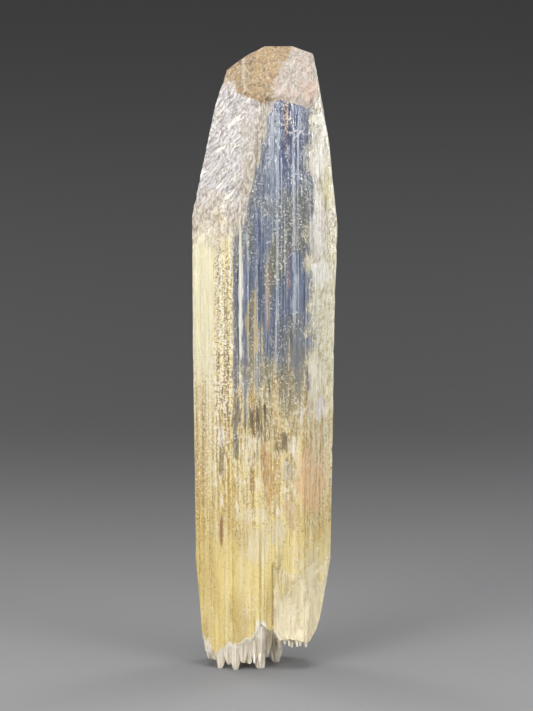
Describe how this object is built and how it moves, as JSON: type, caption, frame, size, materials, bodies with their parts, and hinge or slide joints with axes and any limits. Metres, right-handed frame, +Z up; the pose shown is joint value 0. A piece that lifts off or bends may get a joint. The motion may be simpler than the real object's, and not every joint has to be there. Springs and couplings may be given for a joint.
{
  "type": "kunzite crystal",
  "caption": "Tall flattened spodumene blade with striated sides and an etched slanting tip, standing on the clear prongs of its foot.",
  "frame": {"origin": "centre of the bounding box on the surface that the crystal stands on", "axes": "+Z up along the blade from its foot to its tip; -Y is the broad front face with the hatched slanting face at its upper left; +X to the right seen from the front"},
  "size_m": [0.0287, 0.0126, 0.1244],
  "materials": {
    "clear_spodumene": "clear pale yellow crystal with a grey-blue window, glassy striated sides, frosted etched tip and foot"
  },
  "bodies": {
    "root": {"crystal": "clear_spodumene"}
  },
  "joints": []
}
